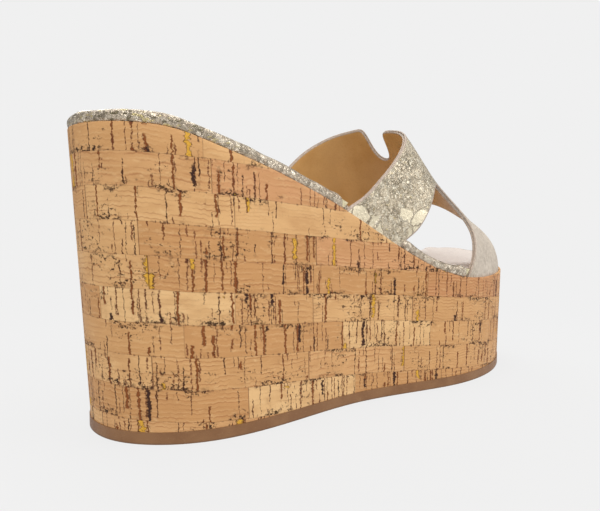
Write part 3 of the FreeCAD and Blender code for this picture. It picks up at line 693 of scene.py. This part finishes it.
def rubber_material():
    """Brown rubber, scuffed in streaks, with painted contact shade darkening it at the floor."""
    g = Surface("outsole_rubber")
    p = g.place()
    cloud = g.noise(p, 0.09, 3.0, 0.6)
    fine = g.noise(p, 1.8, 3.0, 0.65)
    x, y, z = g.split(p)
    scuff = g.step(g.noise(g.join(g.mul(x, 0.5), g.mul(y, 0.5), g.mul(z, 2.4)), 1.0, 3.0, 0.7), 0.60, 0.72)
    colour = g.mix(g.step(cloud, 0.3, 0.7), linear(126, 86, 52), linear(138, 98, 62))
    colour = g.mix(g.mul(scuff, 0.35), colour, linear(178, 142, 104))
    colour = g.mix(g.step(fine, 0.55, 0.8, 0.0, 0.35), colour, linear(112, 80, 52))
    # Painted contact shade: the last millimetre above the floor is darkened.
    foot = g.step(z, 0.1, 0.9, 0.45, 0.0)
    colour = g.mix(foot, colour, linear(84, 62, 44))
    rough = g.step(fine, 0.3, 0.7, 0.42, 0.60)
    return g.finish(colour, rough, normal=g.bump(fine, 0.00010), Specular_IOR_Level=0.4)


def plain_material(name, light, dark, scale, roughness, metallic=0.0, depth=0.0002, stretch=(1, 1, 1)):
    """A mottled material for the parts inside."""
    g = Surface(name)
    p = g.place(stretch)
    tone = g.noise(p, scale, 4.0, 0.65)
    pores, _ = g.cells(p, scale * 2.0)
    colour = g.mix(g.step(tone, 0.3, 0.7), linear(*light), linear(*dark))
    colour = g.mix(g.step(pores, 0.08, 0.3, 0.35, 0.0), colour, linear(*dark))
    rough = g.step(tone, 0.3, 0.7, roughness - 0.06, roughness + 0.08)
    return g.finish(colour, rough, metallic, g.bump(g.add(tone, g.mul(pores, 0.4)), depth))


# ---- upper

FIRST_STATION, LAST_STATION = 0.345, 0.975
SECTIONS = np.arange(float(at(FIRST_STATION)), float(at(LAST_STATION)) + 1, 1.0)  # X, one each millimetre
SHARES = 161  # points from a section's foot to the ridge
BELOW = 30.0  # the sections go straight down this far below their base
ARC_POINTS = 200  # points of the superellipse on each side
BASE_DEPTH = 1.6  # the upper's edge runs this far under the cork's edge between its openings
LOOP_STEP, LOOP_SOFTENING = 1.1, 5  # spacing of the outline's points, and rounds that soften its corners
FACE_SIZE = 1.7  # spacing of the points inside the outline
FAR = 400.0  # past every part of the upper
DEEP = 99.0  # stands for a point that isn't near the edge
LAYER_GAP = 0.03  # the tape keeps this clear of the leathers
TAPE_INSET = 0.45  # the tape ends this far inside the leathers' edges


def section_table():
    """The upper's outer face as (Y, Z) over stations and shares of arc, with arc lengths from the ridge."""
    reach = {side: half_width(SECTIONS, side) - LEG_INSET - side * RIDGE_SIDE for side in (-1, 1)}
    angle = np.linspace(0, math.pi / 2, ARC_POINTS)
    out, up = np.cos(angle) ** (2 / ARCH_POWER), np.sin(angle) ** (2 / ARCH_POWER)
    out[-1] = 0.0
    ys, zs, arcs = [], [], []
    for i, x in enumerate(SECTIONS):
        base, top = footbed(x) - RECESS, ridge_height(x)
        halves = {}
        for side in (-1, 1):
            y = RIDGE_SIDE + side * reach[side][i] * out
            z = base + (top - base) * up
            y = np.concatenate([[y[0]], y])
            z = np.concatenate([[z[0] - BELOW], z])
            run = np.concatenate([[0.0], np.cumsum(np.hypot(np.diff(y), np.diff(z)))])
            halves[side] = (y, z, run - run[-1])
        y = np.concatenate([halves[-1][0], halves[1][0][::-1][1:]])
        z = np.concatenate([halves[-1][1], halves[1][1][::-1][1:]])
        arc = np.concatenate([halves[-1][2], -halves[1][2][::-1][1:]])
        grid = np.concatenate([np.linspace(arc[0], 0, SHARES), np.linspace(0, arc[-1], SHARES)[1:]])
        ys.append(np.interp(grid, arc, y))
        zs.append(np.interp(grid, arc, z))
        arcs.append(grid)
    return np.array(ys), np.array(zs), np.array(arcs)


sec_y, sec_z, sec_arc = section_table()


def at_station(x, table):
    """One section of a table, interpolated at x."""
    k = np.clip(int(x - SECTIONS[0]), 0, len(SECTIONS) - 2)
    f = np.clip(x - SECTIONS[k], 0.0, 1.0)
    return table[k] * (1 - f) + table[k + 1] * f


def arch_point(x, arc):
    """Point of the upper's outer face."""
    grid = at_station(x, sec_arc)
    y, z = (np.interp(arc, grid, at_station(x, table)) for table in (sec_y, sec_z))
    return np.array([x, y, z])


def arch_frame(x, arc):
    """Point and outward normal of the upper's outer face."""
    p = arch_point(x, arc)
    dx = arch_point(x + 0.7, arc) - arch_point(x - 0.7, arc)
    da = arch_point(x, arc + 0.7) - arch_point(x, arc - 0.7)
    n = np.cross(da, dx)
    n /= np.linalg.norm(n)
    if n[2] + (p[1] - RIDGE_SIDE) * n[1] * 0.05 < 0:
        n = -n
    return p, n


def arc_where(x, side, measure, value):
    """Arc coordinate on one side where a measure of (y, z) takes a value."""
    y, z, arc = (at_station(x, t) for t in (sec_y, sec_z, sec_arc))
    half = slice(0, SHARES) if side < 0 else slice(SHARES - 1, None)
    m, a = measure(y[half], z[half]), arc[half]
    if m[0] > m[-1]:
        m, a = m[::-1], a[::-1]
    return float(np.interp(value, m, a))


def pattern_curve(points, side, measure, closed):
    """A spline of (station, value) points as (x, arc) points on the upper's face."""
    curve = smooth([(at(s), v) for s, v in points], closed, 500)
    if closed:
        curve = np.vstack([curve, curve[:1]])
    out = []
    for x, v in curve:
        one = side if side else (-1 if v < RIDGE_SIDE else 1)
        out.append((x, arc_where(x, one, measure, v)))
    return np.array(out)


def height_measure(y, z):
    return z


def plan_measure(y, z):
    return y


def shoulder_measure(side):
    """The place along a line at 45 degrees over one side's shoulder."""
    def measure(y, z):
        return (z + (y if side < 0 else -y)) / math.sqrt(2)
    return measure


def inside(polygon, points):
    """Which points lie in a polygon."""
    x, y = points[:, 0][:, None], points[:, 1][:, None]
    a, b = polygon, np.roll(polygon, -1, axis=0)
    crosses = (a[:, 1] > y) != (b[:, 1] > y)
    with np.errstate(divide="ignore", invalid="ignore"):
        edge = a[:, 0] + (y - a[:, 1]) * (b[:, 0] - a[:, 0]) / (b[:, 1] - a[:, 1])
    return (np.sum(crosses & (x < edge), axis=1) % 2).astype(bool)


def longest_run(keep):
    """Slice of the longest unbroken stretch of True."""
    best, start = (0, 0), None
    for i, k in enumerate(list(keep) + [False]):
        if k and start is None:
            start = i
        if not k and start is not None:
            if i - start > best[1] - best[0]:
                best = (start, i)
            start = None
    return slice(*best)


def base_arc(x, side):
    """Where the upper goes out of sight behind the cork's edge."""
    return arc_where(x, side, height_measure, footbed(x) - BASE_DEPTH)


def pattern_loop():
    """The upper's outline as one closed loop of (x, arc) points."""
    backs = {
        -1: pattern_curve(OUTER_BACK, -1, height_measure, False),
        1: pattern_curve(INNER_BACK, 1, height_measure, False),
    }
    sides = {
        -1: pattern_curve(OUTER_OPENING, -1, shoulder_measure(-1), True),
        1: pattern_curve(INNER_OPENING, 1, shoulder_measure(1), True),
    }
    notch = pattern_curve(NOTCH, 0, plan_measure, False)
    toe = pattern_curve(TOE_OPENING, 0, plan_measure, False)

    def behind(side):
        """The region behind one back edge."""
        curve, away = backs[side], side * FAR
        return np.vstack([curve, [(curve[-1][0], 0), (-FAR, 0), (-FAR, away), (curve[0][0], away)]])

    regions = {
        "back-1": behind(-1),
        "back1": behind(1),
        "side-1": sides[-1],
        "side1": sides[1],
        "notch": np.vstack([notch, [(-FAR, 30), (-FAR, -30)]]),
        "toe": np.vstack([toe, [(FAR, FAR), (FAR, -FAR)]]),
    }
    base = {side: np.array([(x, base_arc(x, side)) for x in SECTIONS]) for side in (-1, 1)}

    def kept(curve, own):
        """The longest stretch of a curve that lies in no other region and above the base."""
        keep = np.ones(len(curve), bool)
        for name, region in regions.items():
            if name != own:
                keep &= ~inside(region, curve)
        low = np.interp(curve[:, 0], base[-1][:, 0], base[-1][:, 1])
        high = np.interp(curve[:, 0], base[1][:, 0], base[1][:, 1])
        keep &= (curve[:, 1] > low) & (curve[:, 1] < high)
        return curve[longest_run(keep)]

    def rolled(curve):
        """A closed opening curve that starts below the base."""
        start = np.argmax(np.abs(curve[:-1, 1]))
        return np.roll(curve[:-1], -start, axis=0)

    opening = {side: kept(rolled(sides[side]), f"side{side}") for side in (-1, 1)}
    for side in (-1, 1):
        if opening[side][0, 0] > opening[side][-1, 0]:
            opening[side] = opening[side][::-1]
    back = {side: kept(backs[side], f"back{side}") for side in (-1, 1)}
    toe_run = kept(toe, "toe")
    notch_run = kept(notch, "notch")
    if notch_run[0, 1] > notch_run[-1, 1]:
        notch_run = notch_run[::-1]
    if toe_run[0, 1] < toe_run[-1, 1]:
        toe_run = toe_run[::-1]

    def base_run(side, x0, x1):
        xs = np.linspace(x0, x1, max(int(abs(x1 - x0)), 2))[1:-1]
        return np.array([(x, base_arc(x, side)) for x in xs])

    loop = [
        back[-1], notch_run, back[1][::-1],
        base_run(1, back[1][0, 0], opening[1][0, 0]), opening[1],
        base_run(1, opening[1][-1, 0], toe_run[0, 0]), toe_run,
        base_run(-1, toe_run[-1, 0], opening[-1][-1, 0]), opening[-1][::-1],
        base_run(-1, opening[-1][0, 0], back[-1][0, 0]),
    ]
    return np.vstack([piece for piece in loop if len(piece)])


def resampled(loop, step):
    """A closed loop with its points evenly spread."""
    closed = np.vstack([loop, loop[:1]])
    run = np.concatenate([[0.0], np.cumsum(np.linalg.norm(np.diff(closed, axis=0), axis=1))])
    count = int(run[-1] / step)
    s = np.linspace(0, run[-1], count, endpoint=False)
    return np.column_stack([np.interp(s, run, closed[:, i]) for i in (0, 1)])


def softened(loop, rounds):
    """A closed loop with each point drawn towards its neighbours."""
    for _ in range(rounds):
        loop = 0.5 * loop + 0.25 * (np.roll(loop, 1, axis=0) + np.roll(loop, -1, axis=0))
    return loop


def inward(loop, distance):
    """A closed loop moved in by a distance."""
    along = np.roll(loop, -1, axis=0) - np.roll(loop, 1, axis=0)
    along /= np.linalg.norm(along, axis=1)[:, None] + 1e-9
    area = np.sum(loop[:, 0] * np.roll(loop[:, 1], -1) - np.roll(loop[:, 0], -1) * loop[:, 1])
    normal = np.column_stack([-along[:, 1], along[:, 0]]) * (1 if area > 0 else -1)
    return loop + normal * distance


def layer_mesh(loop, rings, step):
    """Flat triangles inside a loop: (points, faces, distance in from the edge)."""
    count = len(loop)
    loops = [loop] + [inward(loop, d) for d in rings]
    last = loops[-1]
    low, high = loop.min(axis=0), loop.max(axis=0)
    xs = np.arange(low[0], high[0], step)
    ys = np.arange(low[1], high[1], step * 0.9)
    gx, gy = np.meshgrid(xs, ys)
    gx[1::2] += step / 2
    grid = np.column_stack([gx.ravel(), gy.ravel()])
    grid = grid[inside(last, grid)]
    clear = np.array([np.min(np.sum((last - p) ** 2, axis=1)) > (0.6 * step) ** 2 for p in grid])
    grid = grid[clear]
    points = np.vstack(loops + [grid])
    edges = []
    for i in range(len(loops)):
        edges += [(i * count + j, i * count + (j + 1) % count) for j in range(count)]
    verts = [Vector(p) for p in points]
    out = geometry.delaunay_2d_cdt(verts, edges, [list(range(count))], 1, 1e-5)
    flat = np.array([tuple(v) for v in out[0]])
    faces = [tuple(f) for f in out[2]]
    origin = [o[0] if o else -1 for o in out[3]]
    depth = np.full(len(flat), DEEP)
    depths = [0.0, *rings]
    for i, o in enumerate(origin):
        if 0 <= o < len(depths) * count:
            depth[i] = depths[o // count]
    return flat, faces, depth


def make_layer(name, loop, face_depth, back_depth, edge_round, outer_material, back_material, edge):
    """One layer of the upper between two depths under its outer face, with rounded edges."""
    rings = [0.3 * edge_round, edge_round]
    flat, faces, depth = layer_mesh(loop, rings, FACE_SIZE)
    middle = (face_depth + back_depth) / 2
    half = (back_depth - face_depth) / 2
    frames = [arch_frame(x, arc) for x, arc in flat]
    base = np.array([f[0] for f in frames])
    normal = np.array([f[1] for f in frames])
    share = np.clip(depth / edge_round, 0, 1)
    swell = half * np.sqrt(1 - (1 - share) ** 2)
    front = base - normal * (middle - swell)[:, None]
    rear = base - normal * (middle + swell)[:, None]
    count = len(flat)
    index = np.arange(count) + count
    rim = depth == 0.0
    index[rim] = np.flatnonzero(rim)
    verts = np.vstack([front, rear])
    used = np.concatenate([np.ones(count, bool), ~rim])
    remap = np.cumsum(used) - 1
    all_faces, slots = [], []
    for f in faces:
        near_edge = min(depth[list(f)]) < edge_round * 0.99
        all_faces.append(tuple(int(remap[i]) for i in f))
        slots.append(2 if near_edge else 0)
        all_faces.append(tuple(int(remap[index[i]]) for i in reversed(f)))
        slots.append(2 if near_edge else 1)
    obj = new_object(name, verts[used], all_faces, [outer_material, back_material, edge])
    obj.data.polygons.foreach_set("material_index", slots)
    add_uv(obj, "cut", np.vstack([flat, flat])[used] * 0.001)
    fix_normals(obj)
    return obj


def fix_normals(obj, weld_distance=None):
    """Turns all faces outwards, after welding points within a distance where one is given."""
    bm = bmesh.new()
    bm.from_mesh(obj.data)
    if weld_distance:
        bmesh.ops.remove_doubles(bm, verts=bm.verts, dist=weld_distance)
    bmesh.ops.recalc_face_normals(bm, faces=bm.faces)
    bm.to_mesh(obj.data)
    bm.free()


def build_upper():
    """The three layers of the upper, cut to one outline."""
    loop = resampled(pattern_loop(), LOOP_STEP)
    loop = resampled(softened(loop, LOOP_SOFTENING), LOOP_STEP)
    edge = edge_material()
    foil = foil_material()
    lining = lining_material()
    tape = plain_material("reinforcement_tape", (224, 218, 206), (190, 182, 168), 1.2, 0.8)
    outer = make_layer("upper_foil_leather", loop, 0.0, OUTER, 0.55, foil, edge, edge)
    inter = make_layer(
        "upper_tape", inward(loop, TAPE_INSET), OUTER + LAYER_GAP, OUTER + INTER - LAYER_GAP, 0.15,
        tape, tape, tape,
    )
    lined = make_layer(
        "upper_lining_leather", loop, OUTER + INTER, OUTER + INTER + LINING, 0.5, lining, lining, edge,
    )
    for obj, node, slot in (
        (outer, "upper_outer", "foil_leather"),
        (inter, "upper_interlining", "reinforcement"),
        (lined, "upper_lining", "lining_leather"),
    ):
        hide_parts(node)
        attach(obj, "root")


# ---- insole

# Stretches of the rim, at its own level, where a leg of the upper stands in front of it.
LEG_SPANS = {
    -1: [(0.400, 0.535), (0.712, 0.945)],
    1: [(0.375, 0.528), (0.718, 0.935)],
}


# Level over the cork's edge and distance in from the wall, up and over the rolled rim.
RIM_PROFILE = [
    (-2.2, 1.35), (-0.9, 1.2), (-0.2, 0.95), (0.15, 0.62), (0.7, 0.34), (1.5, 0.15), (2.4, 0.12),
    (3.2, 0.28), (3.9, 0.66), (4.4, 1.25), (4.68, 2.1), (4.82, 3.3), (4.9, 5.0), (4.9, 8.0),
]
RIM_TOP = 4.9  # the rim's top over the cork's edge
PAD_RISE = 4.4  # the pad's greatest rise towards the toes
TOP_ROWS = 8  # rows of faces from the rim to the middle line


def leg_share(x, y):
    """1 where a leg stands in front of the rim, 0 clear of it, and a short slope between."""
    share = np.zeros(len(x))
    for side, spans in LEG_SPANS.items():
        on_side = side * y > 0
        for low, high in spans:
            rise = np.clip((x - at(low) + 2.2) / 3.0, 0, 1)
            fall = np.clip((at(high) + 2.6 - x) / 3.0, 0, 1)
            share = np.maximum(share, np.where(on_side, ease(np.minimum(rise, fall)), 0))
    return share


def toe_swell(points):
    """The pad rises towards the toes and the inner side of the ball."""
    x, y, z = points.T
    ahead = np.clip((x - at(0.70)) / (at(0.90) - at(0.70)), 0, 1)
    across = np.clip((y + 14) / 34, 0, 1)
    over = np.clip((z - footbed(x)) / 5.0, 0, 1)
    return PAD_RISE * ease(ahead) * ease(across) * over


def rim_bunch(edge):
    """1 where the leather bunches up just behind and in front of each leg, falling to 0."""
    bunch = np.zeros(COLUMNS)
    for side, spans in LEG_SPANS.items():
        for low, high in spans:
            for s in (at(low) - 4.0, at(high) + 4.2):
                lump = np.exp(-((edge[:, 0] - s) / 3.2) ** 2) * (side * edge[:, 1] > 0)
                bunch = np.maximum(bunch, lump)
    return bunch


def rim_ripple():
    """Random ripples once round the rim, most of them 26 or so to the round."""
    spectrum = np.fft.rfft(rng.normal(size=COLUMNS))
    bins = np.arange(len(spectrum))
    spectrum *= np.exp(-((bins - 26) / 22.0) ** 2)
    ripple = np.fft.irfft(spectrum, COLUMNS)
    return ripple * (0.11 / ripple.std())


def build_insole():
    """The padded insole: a rolled rim, pressed in behind the legs, and a softly crowned top."""
    edge = wall_at_level(0.0)
    share = leg_share(edge[:, 0], edge[:, 1])
    front = np.clip((edge[:, 0] - at(0.62)) / 20, 0, 1)
    pocket = share * (2.45 + 1.2 * front)
    bunch, ripple = rim_bunch(edge), rim_ripple()
    rows, rim = [], []
    travelled = 0.0
    for i, (level, inset) in enumerate(RIM_PROFILE):
        puff = np.clip(level / 2.0, 0, 1)
        out = inset + pocket * (1 if inset < 3 else 0.6 if inset < 4 else 0.2) - ripple * puff * 0.8
        lift = puff * (ripple * 0.9 + bunch * 0.75 - share * 0.35)
        rows.append(wall_at_level(level + lift, out))
        if i:
            previous = RIM_PROFILE[i - 1]
            travelled += math.hypot(level - previous[0], inset - previous[1])
        rim.append(np.full(COLUMNS, max(travelled - 3.0, 0.0)))
    last = rows[-1]
    spine_x = np.clip(last[:, 0], at(0.13), at(0.86))
    spine = np.column_stack([spine_x, middle_line(spine_x)])
    for k in range(1, TOP_ROWS + 1):
        f = 1 - (1 - k / TOP_ROWS) ** 1.15
        xy = last[:, :2] * (1 - f) + spine * f
        crown = RIM_TOP + 0.35 * math.sin(math.pi * min(f, 1) / 2)
        heel_dish = 0.7 * f * np.exp(-((xy[:, 0] - at(0.12)) / 26) ** 2)
        ball_dish = 0.8 * f * np.exp(-((xy[:, 0] - at(0.74)) / 30) ** 2)
        rows.append(np.column_stack([xy, footbed(xy[:, 0]) + crown - (heel_dish + ball_dish)]))
        rim.append(np.full(COLUMNS, travelled + 10.0 * k))
    points = np.vstack(rows)
    points[:, 2] += toe_swell(points)
    obj = new_object("insole_leather_cover", points, lathe_faces(len(rows), COLUMNS), [insole_material()])
    add_uv(obj, "rim", np.column_stack([np.concatenate(rim), np.zeros(len(points))]) * 0.001)
    fix_normals(obj, weld_distance=0.00005)
    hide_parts("insole_cover")
    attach(obj, "root")


def middle_line(x):
    """Y half-way between the wall's two sides."""
    return (half_width(x, 1) - half_width(x, -1)) / 2


# ---- parts kept from the frame


def dress_frame():
    """Materials for the CAD parts that keep their shape."""
    steel = plain_material(
        "shank_steel", (176, 178, 182), (140, 142, 146), 0.5, 0.35, 1.0, 0.00005, (0.1, 1, 1),
    )
    wire = plain_material("fastener_steel", (190, 188, 180), (150, 148, 140), 1.5, 0.4, 1.0, 0.00005)
    looks = {
        "outsole": rubber_material(),
        "wedge_core": plain_material("core_foam", (222, 212, 190), (198, 186, 162), 0.7, 0.85, 0.0, 0.0004),
        "bottom_filler": plain_material("filler_cork", (160, 118, 78), (104, 72, 44), 0.5, 0.85, 0.0, 0.0005),
        "shank": steel,
        "shank_rivets": wire,
        "heel_nails": wire,
        "strap_tacks": wire,
        "insole_board": plain_material(
            "fibre_board", (176, 150, 116), (146, 120, 88), 1.1, 0.8, 0.0, 0.0002, (0.3, 1, 1),
        ),
        "foam_pad": plain_material("pad_foam", (232, 222, 186), (208, 196, 158), 1.3, 0.9, 0.0, 0.0004),
    }
    for node, material in looks.items():
        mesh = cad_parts[node].data
        mesh.materials.clear()
        mesh.materials.append(material)


# ---- stage


EYE = (-0.18147, -0.21671, 0.07842)  # the camera's place
LOOK = (0.60008, 0.79829, -0.05132)  # the way it faces
# Name, place, aim, size and power.
LIGHTS = [
    ("key", (-0.75, -0.95, 0.95), (0, 0, 0.06), (0.9, 0.7), 8.6),
    ("fill", (0.85, -0.75, 0.55), (0, 0, 0.05), (0.7, 0.7), 4.0),
    ("back", (0.2, 1.0, 0.9), (0, 0, 0.06), (1.0, 0.7), 6.4),
    ("top", (0.0, -0.1, 1.3), (0, 0, 0.05), (0.8, 0.8), 7.0),
]


def build_camera():
    camera = bpy.data.cameras.new("camera")
    obj = bpy.data.objects.new("camera", camera)
    bpy.context.scene.collection.objects.link(obj)
    forward = Vector(LOOK).normalized()
    right = forward.cross(Vector((0, 0, 1))).normalized()
    up = right.cross(forward)
    turn = Matrix((right, up, -forward)).transposed().to_4x4()
    turn.translation = Vector(EYE)
    obj.matrix_world = turn
    camera.sensor_width = 36.0
    camera.lens = 33.6
    camera.clip_start = 0.01
    bpy.context.scene.camera = obj


def area_light(name, place, aim, size, power):
    light = bpy.data.lights.new(name, "AREA")
    light.shape = "RECTANGLE"
    light.size, light.size_y = size
    light.energy = power
    obj = bpy.data.objects.new(name, light)
    bpy.context.scene.collection.objects.link(obj)
    obj.location = place
    obj.rotation_euler = (Vector(aim) - Vector(place)).to_track_quat("-Z", "Y").to_euler()


BACKDROP = linear(240, 240, 240)[0]


def floor_material():
    """Pale paper that fades into the backdrop."""
    material = bpy.data.materials.new("floor_paper")
    g = Graph(material)
    glow = g.node("ShaderNodeEmission", (1, 1, 1, 1), BACKDROP)
    paper = g.node("ShaderNodeBsdfDiffuse", (0.64, 0.64, 0.64, 1))
    place = g.node("ShaderNodeTexCoord").outputs["Object"]
    away = g.node("ShaderNodeVectorMath", place, operation="LENGTH").outputs["Value"]
    fade = g.step(away, 0.14, 0.42, 0.90, 1.0)
    mix = g.node("ShaderNodeMixShader", fade, paper.outputs[0], glow.outputs[0])
    g.node("ShaderNodeOutputMaterial", mix.outputs[0])
    return material


# Share of the way from straight down to straight up, and brightness.
SKY = [(0.0, 0.75), (0.42, 0.62), (0.5, 0.30), (0.62, 0.42), (0.8, 1.0), (1.0, 1.1)]
SKY_STRENGTH = 0.66


def build_world():
    """Even backdrop for the eye, and a softly graded sky for the light."""
    world = bpy.data.worlds.new("studio")
    bpy.context.scene.world = world
    g = Graph(world)
    seen = g.node("ShaderNodeBackground", (BACKDROP, BACKDROP, BACKDROP, 1))
    upward = g.split(g.node("ShaderNodeTexCoord").outputs["Generated"])[2]
    share = g.node("ShaderNodeMapRange", upward, -1.0).outputs[0]
    sky = g.ramp(share, [(position, (value, value, value, 1)) for position, value in SKY])
    light = g.node("ShaderNodeBackground", sky, SKY_STRENGTH)
    eye = g.node("ShaderNodeLightPath").outputs["Is Camera Ray"]
    mix = g.node("ShaderNodeMixShader", eye, light.outputs[0], seen.outputs[0])
    g.node("ShaderNodeOutputWorld", mix.outputs[0])


def build_stage():
    bpy.ops.mesh.primitive_plane_add(size=40)
    floor = bpy.context.object
    floor.name = "floor"
    floor.data.materials.append(floor_material())
    for light in LIGHTS:
        area_light(*light)
    build_world()
    bpy.context.scene.view_settings.view_transform = "Standard"


build_camera()
build_stage()
dress_frame()
build_cork()
build_insole()
build_upper()
